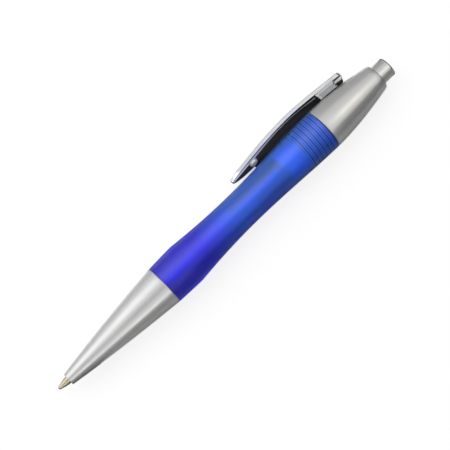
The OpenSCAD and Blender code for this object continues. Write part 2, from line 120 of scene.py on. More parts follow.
def radius_at(line, station):
    """Radius of an outline at a station."""
    for (r0, s0), (r1, s1) in zip(line, line[1:]):
        if s0 <= station <= s1:
            return r0 + (r1 - r0) * (station - s0) / (s1 - s0)
    return line[0][0] if station < line[0][1] else line[-1][0]


MOUTH, JOINT, KNEE, WAIST, UPPER, RIM = 4.0, 44.2, 53.6, 77.0, 112.0, 135.3
BODY_R, JOINT_R, WAIST_R, MOUTH_R, RIM_R = 6.96, 6.70, 5.74, 2.07, 4.42
MOUTH_ROUND = 0.3
MOUTH_SLOPE, JOINT_SLOPE, RIM_SLOPE = 0.148, 0.085, 0.185
KNEE_PULL, FALL_PULL, RISE_PULL, HIP_PULL = 3.133, 7.8, 13.475, 10.5
KNEE_RISE, FALL_DROP, HIP_DROP, UPPER_SLOPE = 0.065, 0.78, 0.1525, 0.005
FINE = 28

pull = (JOINT - MOUTH) / 3
nose_line = curve(
    (MOUTH_R, MOUTH + MOUTH_ROUND), (MOUTH_R + MOUTH_SLOPE * pull, MOUTH + pull),
    (JOINT_R - JOINT_SLOPE * pull, JOINT - pull), (JOINT_R, JOINT), FINE)
knee_line = curve(
    (JOINT_R, JOINT), (JOINT_R + KNEE_RISE, JOINT + KNEE_PULL),
    (BODY_R, KNEE - KNEE_PULL), (BODY_R, KNEE), FINE // 3)
fall_line = curve(
    (BODY_R, KNEE), (BODY_R - FALL_DROP, KNEE + FALL_PULL),
    (WAIST_R, WAIST - FALL_PULL), (WAIST_R, WAIST), FINE)
rise_line = curve(
    (WAIST_R, WAIST), (WAIST_R, WAIST + RISE_PULL),
    (BODY_R - HIP_DROP, UPPER - HIP_PULL), (BODY_R, UPPER), FINE)
barrel_line = knee_line + fall_line[1:] + rise_line[1:]
pull = (RIM - UPPER) / 3
shell_line = curve(
    (BODY_R, UPPER), (BODY_R - UPPER_SLOPE * pull, UPPER + pull),
    (RIM_R + RIM_SLOPE * pull, RIM - pull), (RIM_R, RIM), FINE)
print("outline stations:", len(nose_line), len(barrel_line), len(shell_line))

# %% [markdown]
# ## A lathe
# A lathe piece can be made with Blender's Screw modifier, but then the thread and the
# soft edges would need more modifiers on top. A short function that lays ring after
# ring of points gives full control. `soften` first rounds each sharp corner of the
# outline, because a real moulded or turned edge always catches a thin line of light.
# `TINY` is the length below which two points count as one.

# %% Turn an outline into a mesh
TURNS = 144
TINY = 1e-6
CORNER_FROM = math.radians(22)


def soften(path, size):
    """The closed outline with each sharp corner cut back by size and rounded."""
    out = []
    for i, here in enumerate(path):
        before = Vector(path[i - 1]) - Vector(here)
        after = Vector(path[(i + 1) % len(path)]) - Vector(here)
        no_corner = before.length < TINY or after.length < TINY
        if no_corner or math.pi - before.angle(after) < CORNER_FROM:
            out.append(here)
            continue
        cut = min(size, before.length * 0.4, after.length * 0.4)
        p0 = Vector(here) + before.normalized() * cut
        p2 = Vector(here) + after.normalized() * cut
        for t in (0.0, 0.25, 0.5, 0.75, 1.0):
            p = p0 * (1 - t) ** 2 + Vector(here) * 2 * t * (1 - t) + p2 * t * t
            out.append((p.x, p.y))
    return out


def put(name, data):
    """A new object on the set."""
    thing = bpy.data.objects.new(name, data)
    bpy.context.scene.collection.objects.link(thing)
    return thing


def make_piece(name, verts, faces, sharp=35):
    """A new object from points of the scene, with clean outward normals."""
    mesh = bpy.data.meshes.new(name)
    mesh.from_pydata([tuple(v) for v in verts], [], faces)
    work = bmesh.new()
    work.from_mesh(mesh)
    bmesh.ops.remove_doubles(work, verts=work.verts, dist=1e-8)
    bmesh.ops.recalc_face_normals(work, faces=work.faces)
    work.to_mesh(mesh)
    work.free()
    mesh.shade_smooth()
    mesh.set_sharp_from_angle(angle=math.radians(sharp))
    return put(name, mesh)


def lathe(name, path, ripple=None, turns=TURNS, sharp=35):
    """Turns a closed outline of (radius, station) about the pen's axis.

    ripple(radius, station, turn) may change the radius round the pen, for a thread."""
    verts = []
    for radius, along in path:
        for k in range(turns):
            turn = k / turns
            r = radius if ripple is None else ripple(radius, along, turn)
            a = 2 * math.pi * turn
            verts.append(on_table(r * math.sin(a), r * math.cos(a), along))
    faces = []
    rings = len(path)
    for i in range(rings):
        j = (i + 1) % rings
        if path[i][0] < TINY and path[j][0] < TINY:
            continue
        for k in range(turns):
            m = (k + 1) % turns
            corners = [i * turns + k, i * turns + m, j * turns + m, j * turns + k]
            if path[i][0] < TINY:
                corners = [i * turns, j * turns + m, j * turns + k]
            elif path[j][0] < TINY:
                corners = [i * turns + k, i * turns + m, j * turns]
            faces.append(corners)
    return make_piece(name, verts, faces, sharp)


print("lathe ready:", TURNS, "points to a ring")

# %% [markdown]
# ## The nose cone
# A slender cone, moulded in plastic and sprayed satin silver, that screws onto the
# barrel. Inside it holds the spring's seat and guides the refill. Its mouth is a soft
# rounded edge, and its rear edge has a small bevel that shows as a bright thin line
# beside the blue barrel. A scaled cone primitive would be a straight taper without
# walls, so the outline is turned. `FIT` is the gap of parts that sit tight, `TIP_GAP`
# that of the point in its guide, and `GAP` that of parts that run free.

# %% Nose cone
GROOVE = 0.15
SEAT = MOUTH + 11.0
SPIGOT = JOINT - 8.0
TIP_R = 1.28
TUBE_R = 1.5
SPRING_R = 2.38
NOSE_WALL = 0.9
FIT, TIP_GAP, GAP = 0.02, 0.08, 0.2
spigot_bore = radius_at(nose_line, SPIGOT) - NOSE_WALL

chamber = []
for i in range(7):
    along = SPIGOT + (SEAT - SPIGOT) * i / 6
    chamber.append((max(SPRING_R + GAP, radius_at(nose_line, along) - NOSE_WALL), along))
nose_path = (
    [(TIP_R + TIP_GAP, MOUTH), (MOUTH_R - MOUTH_ROUND, MOUTH)]
    + arc(MOUTH_R - MOUTH_ROUND, MOUTH + MOUTH_ROUND, MOUTH_ROUND, (-72, -54, -36, -18))
    + nose_line[:-1]
    + [(JOINT_R - GROOVE * JOINT_SLOPE, JOINT - GROOVE), (JOINT_R - GROOVE, JOINT),
       (spigot_bore, JOINT)]
    + chamber
    + [(TUBE_R + GAP, SEAT), (TUBE_R + GAP, MOUTH + 3.2), (TIP_R + TIP_GAP, MOUTH + 3.0)])
nose = lathe("nose_shell", soften(nose_path, 0.07))
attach(nose, "shell")
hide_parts("nose_cone")
print("nose cone:", len(nose.data.polygons), "faces")

# %% [markdown]
# ## The barrel
# One piece of blue, frosted plastic that lets light through. The wall is thick at the
# knee and thin at the waist, and its rear end is a stepped socket that takes the
# sleeve of the click mechanism. A solid blue rod would be quicker, but it would look
# black, so the bore is modelled too and the wall is a real wall.

# %% Barrel
PITCH = 1.52
THREAD_TURNS = 7
THREAD_H = 0.4
THREAD = UPPER - THREAD_TURNS * PITCH
SLEEVE = THREAD - 6.9
SPIGOT_WALL = 0.9
bore_r = spigot_bore - FIT - SPIGOT_WALL
socket_r = radius_at(barrel_line, THREAD) - 0.8
thread_root = socket_r - FIT - THREAD_H
sleeve_r = thread_root - 0.46

barrel_path = (
    [(bore_r, SPIGOT + GAP), (spigot_bore - 0.17, SPIGOT + GAP),
     (spigot_bore - FIT, SPIGOT + 0.35), (spigot_bore - FIT, JOINT),
     (JOINT_R - GROOVE, JOINT), (JOINT_R, JOINT + GROOVE)]
    + barrel_line[1:-1]
    + [(BODY_R - 0.02, UPPER - GROOVE), (BODY_R - GROOVE, UPPER), (socket_r, UPPER),
       (socket_r, THREAD - GAP), (sleeve_r + GAP, THREAD - GAP),
       (sleeve_r + GAP, SLEEVE - GAP), (bore_r, SLEEVE - 4.5)])
barrel = lathe("blue_barrel", soften(barrel_path, 0.06))
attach(barrel, "shell")
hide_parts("barrel")
print("barrel:", len(barrel.data.polygons), "faces")

# %% [markdown]
# ## The upper shell
# The silver head of the pen. It narrows towards the push button and ends in a rounded
# rim with a neck inside that guides the button. It could be cut from a solid cone,
# but a turned wall is quicker and shows the true dark gap round the button.

# %% Upper shell
NECK_R = 3.39
SHOULDER = RIM - 5.7
HEAD_WALL = 1.1
RIM_ROUND = 0.5
SLEEVE_END, HEAD_STEP = 121.4, 121.6
head_bore = radius_at(shell_line, SLEEVE_END) - HEAD_WALL
flange_bore = radius_at(shell_line, SHOULDER) - HEAD_WALL
shell_path = (
    [(head_bore, UPPER), (BODY_R - GROOVE, UPPER), (BODY_R, UPPER + GROOVE)]
    + shell_line[1:-1]
    + arc(RIM_R - RIM_ROUND, RIM - RIM_ROUND, RIM_ROUND, range(0, 91, 15))
    + [(NECK_R, RIM), (NECK_R, SHOULDER), (flange_bore, SHOULDER),
       (flange_bore, HEAD_STEP), (head_bore, HEAD_STEP)])
shell_path = [p for p in shell_path if p[1] <= RIM - RIM_ROUND or p[0] <= RIM_R - 1e-9]
head = lathe("head_shell", soften(shell_path, 0.06))
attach(head, "shell")
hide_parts("upper_shell")
print("upper shell:", len(head.data.polygons), "faces")

# %% [markdown]
# ## The push button
# A small silver cap with a rounded end. It is pushed to click the pen, and it slides in
# the neck of the upper shell, where a flange keeps it from falling out. A bevelled
# cylinder would show the same end, but the turned cap has its hollow and its flange.

# %% Push button
BUTTON_R = 3.31
BUTTON_ROUND = 0.6
FLANGE_TOP = SHOULDER - 5.2
CAP_WALL = 1.2
stem_r = 2.287
button_path = (
    [(stem_r + FIT, FLANGE_TOP - CAP_WALL), (flange_bore - GAP, FLANGE_TOP - CAP_WALL),
     (flange_bore - GAP, FLANGE_TOP), (BUTTON_R, FLANGE_TOP)]
    + arc(BUTTON_R - BUTTON_ROUND, OVERALL - BUTTON_ROUND, BUTTON_ROUND, range(0, 91, 10))
    + [(0.0, OVERALL), (0.0, OVERALL - CAP_WALL), (stem_r + FIT, OVERALL - CAP_WALL)])
button = lathe("silver_button", soften(button_path, 0.06))
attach(button, "button")
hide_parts("push_button")
print("push button:", len(button.data.polygons), "faces")

# %% [markdown]
# ## The sleeve of the click mechanism
# Behind the blue wall sits the fixed sleeve, held by a screw thread. The fine rings
# that show through the barrel are the turns of that thread. The solid carries plain
# rings; here the crest really climbs one pitch for each turn, as a thread does. The
# solid's bore has lanes and ramps that step the cam. No view reaches them, so here the
# bore is a plain round one, as deep as the lanes.

# %% Threaded sleeve
FLAT_TO, RISE_TO, CREST_TO = 0.3, 0.5, 0.8
FLANK = 0.2
RUN_OUT = 0.6
SLICES = 12
sleeve_bore = thread_root - 1.46


def thread_height(phase):
    """Height of the thread, from 0 to 1, over one turn of the screw."""
    phase = phase % 1.0
    if phase < FLAT_TO:
        return 0.0
    if phase < RISE_TO:
        return (phase - FLAT_TO) / FLANK
    if phase < CREST_TO:
        return 1.0
    return (1.0 - phase) / FLANK


def screw(radius, along, turn):
    """Radius of the sleeve, with the thread wound round it between two stations."""
    if radius < thread_root - TINY or not THREAD < along < UPPER:
        return radius
    fade = min(1.0, (along - THREAD) / RUN_OUT, (UPPER - along) / RUN_OUT)
    return radius + THREAD_H * fade * thread_height((along - THREAD) / PITCH - turn)


sleeve_path = (
    [(sleeve_bore, SLEEVE), (sleeve_r - GROOVE, SLEEVE), (sleeve_r, SLEEVE + GROOVE),
     (sleeve_r, THREAD), (thread_root, THREAD + 0.001)]
    + [(thread_root, THREAD + i * PITCH / SLICES) for i in range(1, THREAD_TURNS * SLICES)]
    + [(thread_root, UPPER - 0.001), (head_bore - FIT, UPPER), (head_bore - FIT, SLEEVE_END),
       (sleeve_bore, SLEEVE_END)])
sleeve = lathe("threaded_sleeve", sleeve_path, ripple=screw, turns=96, sharp=60)
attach(sleeve, "shell")
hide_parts("cam_sleeve")
print("sleeve:", len(sleeve.data.polygons), "faces")

# %% [markdown]
# ## The refill
# A plastic tube with a turned point of nickel silver and a hard ball. The point shows
# at the mouth of the pen, so it gets the taper, the thin rolled lip that holds the
# ball, and a small step where the shank starts. The ball could be a sphere primitive;
# on the lathe it gets its place from the same drawing.

# %% Point and ball of the refill
BALL_R = 0.5
TUBE_START = 12.0
TUBE_BORE = TUBE_R - 0.45
lip = 0.34
point_path = [
    (0.0, 0.62), (0.36, 0.62), (0.49, lip + 0.02), (BALL_R + 0.02, lip),
    (BALL_R + 0.07, lip + 0.03), (0.62, lip + 0.35), (1.16, lip + 2.35),
    (1.16, lip + 2.55), (TIP_R, lip + 2.8),
    (TIP_R, 10.9), (TIP_R - 0.06, 11.0), (TIP_R - 0.06, 11.25), (TIP_R, 11.35),
    (TIP_R, TUBE_START), (TUBE_BORE, TUBE_START), (TUBE_BORE, 15.7),
    (TUBE_BORE - 0.2, 16.0), (0.4, 16.0), (0.4, 1.2), (0.0, 1.2)]
point = lathe("nickel_point", soften(point_path, 0.04), turns=96)
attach(point, "refill")
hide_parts("refill_tip")

ball_path = [(BALL_R * math.sin(math.radians(d)), BALL_R - BALL_R * math.cos(math.radians(d)))
             for d in range(0, 181, 6)]
ball_path[0] = (0.0, 0.0)
ball_path[-1] = (0.0, 2 * BALL_R)
ball = lathe("writing_ball", ball_path, turns=64)
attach(ball, "refill")
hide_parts("tip_ball")
print("point and ball:", len(point.data.polygons), len(ball.data.polygons), "faces")

# %% [markdown]
# ## Tube and ink
# The tube is milky plastic, and the ink stands in it up to a curved surface. It is the
# light band that shows along the middle of the blue barrel. Two ears are pinched out
# of the tube, and the spring pushes on them. They could be two small blocks; moving
# the tube's own rings outwards keeps it one skin, as on the real one.

# %% Ink tube
TUBE_END = 107.05
EARS = SEAT + 23.0
EAR_L = 1.6
EAR_HALF = 0.26
EAR_RISE, EAR_FALL = 0.12, 0.5


def pinch(radius, along, turn):
    """Pinches two opposite ears out of the tube's wall."""
    front, rear = (along - EARS) / EAR_RISE, (EARS + EAR_L - along) / EAR_FALL
    rise = min(1.0, max(0.0, front), max(0.0, rear))
    side = abs(math.sin(2 * math.pi * turn)) if radius > TUBE_R - TINY else 1.0
    return radius + (SPRING_R - TUBE_R) * rise * max(0.0, 1 - side / EAR_HALF) ** 0.5


ear_stations = [EARS - 0.01, EARS, EARS + 0.04, EARS + EAR_RISE, EARS + 0.8, EARS + 1.1,
                EARS + 1.35, EARS + 1.5, EARS + EAR_L]
tube_path = (
    [(TUBE_BORE, TUBE_START), (TUBE_R - 0.1, TUBE_START), (TUBE_R, TUBE_START + 0.1)]
    + [(TUBE_R, s) for s in ear_stations]
    + [(TUBE_R, TUBE_END - 0.1), (TUBE_R - 0.1, TUBE_END), (TUBE_BORE, TUBE_END)])
tube = lathe("ink_tube", tube_path, ripple=pinch, turns=96)
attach(tube, "refill")
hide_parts("refill_tube")

INK_TOP = 85.05
HOLLOW = 0.45
ink_r = TUBE_BORE - FIT
ink_path = [(0.0, 16.02), (ink_r, 16.02), (ink_r, INK_TOP)]
for a in (math.radians(d) for d in range(10, 90, 10)):
    ink_path.append((ink_r * math.cos(a), INK_TOP - HOLLOW * math.sin(a)))
ink_path.append((0.0, INK_TOP - HOLLOW))
ink = lathe("blue_ink", ink_path, turns=64)
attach(ink, "refill")
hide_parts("ink")
print("tube and ink:", len(tube.data.polygons), len(ink.data.polygons), "faces")

# %% [markdown]
# ## The return spring
# A coil of round steel wire with closed ends, between the nose's seat and the ears of the
# tube. A curve with a bevel would draw it, but a mesh keeps the wire's section square to its
# path. When the pen is clicked, the real spring's front end stays and its rear end follows
# the refill.

# %% Return spring
WIRE_R = 0.225
COIL_R = SPRING_R - WIRE_R
COILS = 13
CLOSED = 1.5
SPRING_L = 23.0
closed_rise = CLOSED * (2 * WIRE_R + 0.04)
open_rise = SPRING_L - 2 * WIRE_R - 2 * closed_rise


def spring_rise(turn):
    """How far the wire has climbed after so many turns."""
    if turn < CLOSED:
        return turn / CLOSED * closed_rise
    if turn > COILS - CLOSED:
        return closed_rise + open_rise + (turn - COILS + CLOSED) / CLOSED * closed_rise
    return closed_rise + (turn - CLOSED) / (COILS - 2 * CLOSED) * open_rise


def skin(verts, ring):
    """Faces over rings of so many points each, with both ends shut."""
    faces = [list(range(ring)), list(range(len(verts) - ring, len(verts)))]
    for k in range(0, len(verts) - ring, ring):
        for i in range(ring):
            m = (i + 1) % ring
            faces.append([k + i, k + m, k + ring + m, k + ring + i])
    return faces


STEPS = 40
SIDES = 12
verts = []
for k in range(COILS * STEPS + 1):
    a = 2 * math.pi * k / STEPS
    along = SEAT + WIRE_R + spring_rise(k / STEPS)
    for i in range(SIDES):
        b = 2 * math.pi * i / SIDES
        r = COIL_R + WIRE_R * math.cos(b)
        verts.append(on_table(r * math.sin(a), r * math.cos(a), along + WIRE_R * math.sin(b)))
spring = make_piece("steel_spring", verts, skin(verts, SIDES), sharp=60)
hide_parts("return_spring")
print("spring:", COILS, "coils,", len(spring.data.polygons), "faces")

# %% [markdown]
# ## The clip
# A bowed plate with rounded edges. Its lower end narrows to a blunt tip, its upper end
# has rounded corners, and a foot block joins it to the head. Box modelling with a
# subdivision surface would be the usual way; here a section is swept through stations,
# because the bow, the taper and the edge rounding all come from the drawing.

# %% Clip plate
CLIP_T = 1.38
CLIP_W = 7.3
CLIP_TOP_W = 6.8
CLIP_LOW = UPPER - 31.0
CLIP_BOW = UPPER - 5.5
CLIP_HIGH = RIM - 7.4
CLIP_TAPER = 16.0
CLIP_EDGE = 0.42
CLIP_DOME = 0.25
END_ROUND = 1.4
BLUNT_W = 1.5
GAP_LOW, GAP_BOW, GAP_HIGH = 2.27, 2.6, 2.05
LOW_SLOPE, HIGH_SLOPE = 0.012, 0.085
low_r = radius_at(barrel_line, CLIP_LOW) + GAP_LOW
bow_r = radius_at(barrel_line, CLIP_BOW) + GAP_BOW
high_r = radius_at(shell_line, CLIP_HIGH) + GAP_HIGH
low_pull = (CLIP_BOW - CLIP_LOW) / 3
high_pull = (CLIP_HIGH - CLIP_BOW) / 3
clip_line = curve(
    (low_r, CLIP_LOW), (low_r + LOW_SLOPE * low_pull, CLIP_LOW + low_pull),
    (bow_r, CLIP_BOW - low_pull), (bow_r, CLIP_BOW), FINE)
clip_line += curve(
    (bow_r, CLIP_BOW), (bow_r, CLIP_BOW + high_pull),
    (high_r + HIGH_SLOPE * high_pull, CLIP_HIGH - high_pull), (high_r, CLIP_HIGH),
    FINE)[1:]


def clip_half(along):
    """Half the width of the plate at a station."""
    if along < CLIP_BOW:
        left = max(0.0, CLIP_TAPER - (along - CLIP_LOW)) / CLIP_TAPER
        return max(CLIP_W / 2 * math.sqrt(1 - left * left), BLUNT_W / 2)
    share = (along - CLIP_BOW) / (CLIP_HIGH - CLIP_BOW)
    side = CLIP_W / 2 + (CLIP_TOP_W - CLIP_W) / 2 * share
    corner = max(0.0, along - (CLIP_HIGH - END_ROUND)) / END_ROUND
    return side - END_ROUND * (1 - math.sqrt(max(0.0, 1 - corner * corner)))


def clip_section(along, inset):
    """Points round the plate's edge at a station, drawn in by inset near the ends."""
    half = clip_half(along) - inset
    inner = radius_at(clip_line, along) + inset
    outer = radius_at(clip_line, along) + CLIP_T - inset
    edge = min(CLIP_EDGE, half / 2, (outer - inner) / 2.2)
    small = edge / 2
    points = arc(half - small, inner + small, small, range(-90, 1, 18))
    points += arc(half - edge, outer - edge, edge, range(0, 91, 15))
    dome = CLIP_DOME * min(1.0, half / CLIP_W * 2)
    for t in (0.75, 0.5, 0.25):
        points.append(((half - edge) * t, outer + dome * (1 - t * t)))
    points.append((0.0, outer + dome))
    left = [(-x, y) for x, y in reversed(points[:-1])]
    return points + left


END_STEPS = ((0.0, 0.3), (0.04, 0.16), (0.12, 0.06))
PLATE_STEPS = 40
SIN_72 = 0.9511
body_from = CLIP_LOW + 4.8
body_to = CLIP_HIGH - END_ROUND
stations = [(CLIP_LOW + step, inset) for step, inset in END_STEPS]
for step in (0.25, 0.4, 0.6, 0.8, 1.05, 1.4, 1.8, 2.3, 3.0, 3.8):
    stations.append((CLIP_LOW + step, 0.0))
for i in range(PLATE_STEPS + 1):
    stations.append((body_from + (body_to - body_from) * i / PLATE_STEPS, 0.0))
for d in range(12, 73, 12):
    stations.append((body_to + (END_ROUND - 0.25) * math.sin(math.radians(d)) / SIN_72, 0.0))
stations += [(CLIP_HIGH - step, inset) for step, inset in reversed(END_STEPS)]
verts = []
for along, inset in stations:
    verts += [on_table(x, y, along) for x, y in clip_section(along, inset)]
clip = make_piece("clip_plate", verts, skin(verts, len(verts) // len(stations)), sharp=45)
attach(clip, "shell")
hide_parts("clip")
print("clip plate:", len(clip.data.polygons), "faces")

# %% [markdown]
# ## The foot of the clip
# The foot is a block with hollow roundings where it runs into the plate. They are what
# catches the bright curved streak at its front end. Cut from a cube, the hollows would
# need sculpting, so rounded loops are stacked from the shell up to the plate: a little
# narrower on the way up, and wide again where they run into it.

# %% Foot of the clip
FOOT_W = 5.6
FILLET = 1.1
SIDE_COVE = 0.75
FOOT_DRAFT = 0.42
FOOT_ROUND = 0.75
FOOT_SINK = 0.12
SADDLE = 0.04
INTO_PLATE = 0.3
FOOT_HIGH = CLIP_HIGH - 3.4
FOOT_LOW = FOOT_HIGH - 6.8
ROWS = 14
CORNER = 6


def cove(depth, size):
    """How far a hollow rounding of a size stands out, at a depth below the plate."""
    left = min(1.0, max(0.0, 1 - depth / size))
    return size * (1 - math.sqrt(1 - left * left))


def foot_loop(share):
    """Rounded rectangle round the foot, at a share of its height above the shell."""
    points = []
    for side, end, first in ((1, 1, 0), (-1, 1, 90), (-1, -1, 180), (1, -1, 270)):
        for k in range(CORNER + 1):
            a = math.radians(first + 90 * k / CORNER)
            middle = FOOT_HIGH if end > 0 else FOOT_LOW
            under = radius_at(clip_line, middle)
            base = radius_at(shell_line, middle) - FOOT_SINK
            depth = (1 - share) * (under - base)
            half = FOOT_W / 2 + cove(depth, SIDE_COVE) + FOOT_DRAFT * (1 - share)
            along = middle + end * cove(depth, FILLET)
            x = side * (half - FOOT_ROUND) + FOOT_ROUND * math.cos(a)
            s = along - end * FOOT_ROUND + FOOT_ROUND * math.sin(a)
            low = radius_at(shell_line, s) - FOOT_SINK - SADDLE * x * x
            high = radius_at(clip_line, s) + INTO_PLATE
            points.append(on_table(x, low + (high - low) * share, s))
    return points


verts = []
for i in range(ROWS + 1):
    verts += foot_loop((i / ROWS) ** 0.7)
foot = make_piece("clip_foot", verts, skin(verts, len(verts) // (ROWS + 1)), sharp=40)
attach(foot, "shell")
print("foot:", len(foot.data.polygons), "faces")

# %% [markdown]
# ## The pip
# A small dome under the lower end of the clip, which grips the cloth of a pocket. Half
# a sphere would meet the plate in a hard line; a few rings with a narrow step at the
# foot of the dome give the soft seam of a pressed pip.

# %% Pip of the clip
PIP_R = 1.45
PIP_H = 1.0
PIP_STEP = 0.16
PIP_TURNS = 48
pip_along = CLIP_LOW + 9.0
pip_base = radius_at(clip_line, pip_along)
pip_profile = [
    (PIP_R + 0.18, -0.3), (PIP_R + 0.14, 0.0), (PIP_R + 0.03, 0.07), (PIP_R - 0.02, PIP_STEP)]
for d in range(15, 90, 12):
    a = math.radians(d)
    pip_profile.append(
        (PIP_R * math.cos(a) ** 0.8, PIP_STEP + (PIP_H - PIP_STEP) * math.sin(a)))
verts = [on_table(0, pip_base - PIP_H, pip_along)]
for radius, height in pip_profile:
    for k in range(PIP_TURNS):
        a = 2 * math.pi * k / PIP_TURNS
        verts.append(on_table(
            radius * math.cos(a), pip_base - height, pip_along + radius * math.sin(a)))
faces = [[1 + k for k in range(PIP_TURNS)]]
last = 1 + (len(pip_profile) - 1) * PIP_TURNS
for k in range(PIP_TURNS):
    m = (k + 1) % PIP_TURNS
    for i in range(len(pip_profile) - 1):
        a, b = 1 + i * PIP_TURNS, 1 + (i + 1) * PIP_TURNS
        faces.append([a + k, a + m, b + m, b + k])
    faces.append([last + k, last + m, 0])
pip = make_piece("clip_pip", verts, faces, sharp=50)
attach(pip, "shell")
print("pip:", len(pip.data.polygons), "faces")

# %% [markdown]
# ## Helpers for finishes
# Every finish is made of nodes, as they could be laid by hand in the Shader Editor. The
# helpers below keep the cells short. `add` makes a node with its settings, `feed` and
# `fill` give its inputs plain values or other nodes' outputs, and `math_node` and `ramp`
# make the two nodes that are used most. Texture space is the scene's own space in
# millimetres, so a grain of 0.2 means 0.2 mm.

# %% Node helpers
def add(tree, kind, **settings):
    """A new node of a kind, with its settings."""
    node = tree.nodes.new(kind)
    for name, value in settings.items():
        setattr(node, name, value)
    return node


def feed(socket, value):
    """Gives an input a plain value or colour, or links another node's output to it."""
    if isinstance(value, bpy.types.NodeSocket):
        socket.id_data.links.new(value, socket)
    else:
        socket.default_value = (*value, 1) if socket.type == "RGBA" else value


def fill(node, **values):
    """Feeds the inputs of a node by their names, with _ for each blank."""
    for label, value in values.items():
        feed(node.inputs[label.replace("_", " ")], value)


def math_node(tree, operation, *values):
    """A small sum on values that change over the surface."""
    node = add(tree, "ShaderNodeMath", operation=operation)
    for socket, value in zip(node.inputs, values):
        feed(socket, value)
    return node.outputs[0]


def ramp(tree, value, low, high, to_low=0.0, to_high=1.0, kind="SMOOTHSTEP"):
    """Turns a value between low and high into one between to_low and to_high."""
    node = add(tree, "ShaderNodeMapRange", interpolation_type=kind)
    fill(node, Value=value, From_Min=low, From_Max=high, To_Min=to_low, To_Max=to_high)
    return node.outputs["Result"]


def bare_finish(name):
    """A new material, its node tree and its output, with nothing else in it."""
    finish = bpy.data.materials.new(name)
    finish.use_nodes = True
    finish.node_tree.nodes.clear()
    return finish, finish.node_tree, add(finish.node_tree, "ShaderNodeOutputMaterial")


def start_finish(name):
    """A new material, its node tree, its shader and the surface point in millimetres."""
    finish, tree, output = bare_finish(name)
    shader = add(tree, "ShaderNodeBsdfPrincipled")
    fill(output, Surface=shader.outputs["BSDF"])
    where = add(tree, "ShaderNodeTexCoord")
    to_mm = add(tree, "ShaderNodeVectorMath", operation="SCALE")
    fill(to_mm, Vector=where.outputs["Object"], Scale=1000)
    return finish, tree, shader, to_mm.outputs["Vector"]


def parts(tree, point):
    """The X, Y and Z of a point, each as an output of its own."""
    split = add(tree, "ShaderNodeSeparateXYZ")
    fill(split, Vector=point)
    return split.outputs


def dress(piece, finish):
    """Gives a piece one finish."""
    piece.data.materials.clear()
    piece.data.materials.append(finish)


print("node helpers ready")

# %% [markdown]
# ## Shared effects
# Some effects return on several surfaces, so each is a node group that is built once
# and placed in each finish with its own values. `fine grain` is the orange peel of
# sprayed or moulded plastic. It could be modelled, but a bump of a few hundredths of a
# millimetre is cheaper as noise.

# %% Group: fine grain
def new_group(name, inputs, outputs):
    """An empty node group with named float or vector sockets."""
    group = bpy.data.node_groups.new(name, "ShaderNodeTree")
    for label, kind, value in inputs:
        socket = group.interface.new_socket(label, in_out="INPUT", socket_type=kind)
        if value is not None:
            socket.default_value = value
    for label, kind in outputs:
        group.interface.new_socket(label, in_out="OUTPUT", socket_type=kind)
    return group, add(group, "NodeGroupInput"), add(group, "NodeGroupOutput")


fine_grain, entry, exit_ = new_group(
    "fine grain",
    [("Point", "NodeSocketVector", None), ("Grains per mm", "NodeSocketFloat", 5.0),
     ("Softness", "NodeSocketFloat", 0.5)],
    [("Height", "NodeSocketFloat")])
noise = add(fine_grain, "ShaderNodeTexNoise")
fill(noise, Detail=2, Vector=entry.outputs["Point"], Scale=entry.outputs["Grains per mm"],
     Roughness=entry.outputs["Softness"])
fill(exit_, Height=noise.outputs["Fac"])
print("group:", fine_grain.name)

# %% [markdown]
# ## The film of handling
# Fingers leave a faint, blotchy film that makes a gloss uneven. A painted mask would do
# it for one piece; a noise with a patch size in millimetres does it for all of them.

# %% Group: handling
handling, entry, exit_ = new_group(
    "handling",
    [("Point", "NodeSocketVector", None), ("Patch size in mm", "NodeSocketFloat", 6.0),
     ("Least", "NodeSocketFloat", 0.25), ("Most", "NodeSocketFloat", 0.35)],
    [("Roughness", "NodeSocketFloat"), ("Film", "NodeSocketFloat")])
patches = math_node(handling, "DIVIDE", 1.0, entry.outputs["Patch size in mm"])
blot = add(handling, "ShaderNodeTexNoise")
fill(blot, Vector=entry.outputs["Point"], Scale=patches, Detail=4, Roughness=0.6)
BLOT_LOW, BLOT_HIGH = 0.35, 0.65
gloss = ramp(handling, blot.outputs["Fac"], BLOT_LOW, BLOT_HIGH,
             entry.outputs["Least"], entry.outputs["Most"])
film = ramp(handling, blot.outputs["Fac"], BLOT_LOW, BLOT_HIGH)
fill(exit_, Roughness=gloss, Film=film)
print("group:", handling.name)


def use(tree, group, point, **values):
    """Places a node group, fed with the surface point and its own values."""
    node = add(tree, "ShaderNodeGroup", node_tree=group)
    fill(node, Point=point, **values)
    return node


def handle(tree, shader, point, patch, least, most):
    """Lets a roughness run in patches between two values; returns the film on them."""
    touched = use(tree, handling, point, Patch_size_in_mm=patch, Least=least, Most=most)
    fill(shader, Roughness=touched.outputs["Roughness"])
    return touched.outputs["Film"]


# %% [markdown]
# ## The lines of the thread
# The frosted wall blurs whatever lies behind it, but in the photo the turns of the thread
# stay readable. So besides the sleeve's real rings, one mask finds the thread's winding line
# from the station along the pen and the angle round it. The barrel and the sleeve are both
# painted darker along it, as painted shade of the thread's turns.

# %% Group: thread mask
thread_mask, entry, exit_ = new_group(
    "thread mask",
    [("Point", "NodeSocketVector", None), ("Half width", "NodeSocketFloat", 0.15),
     ("Blur", "NodeSocketFloat", 0.05), ("Phase", "NodeSocketFloat", 0.15)],
    [("Mask", "NodeSocketFloat")])
place = parts(thread_mask, entry.outputs["Point"])


def calc(operation, *values):
    """A sum inside the thread's mask."""
    return math_node(thread_mask, operation, *values)


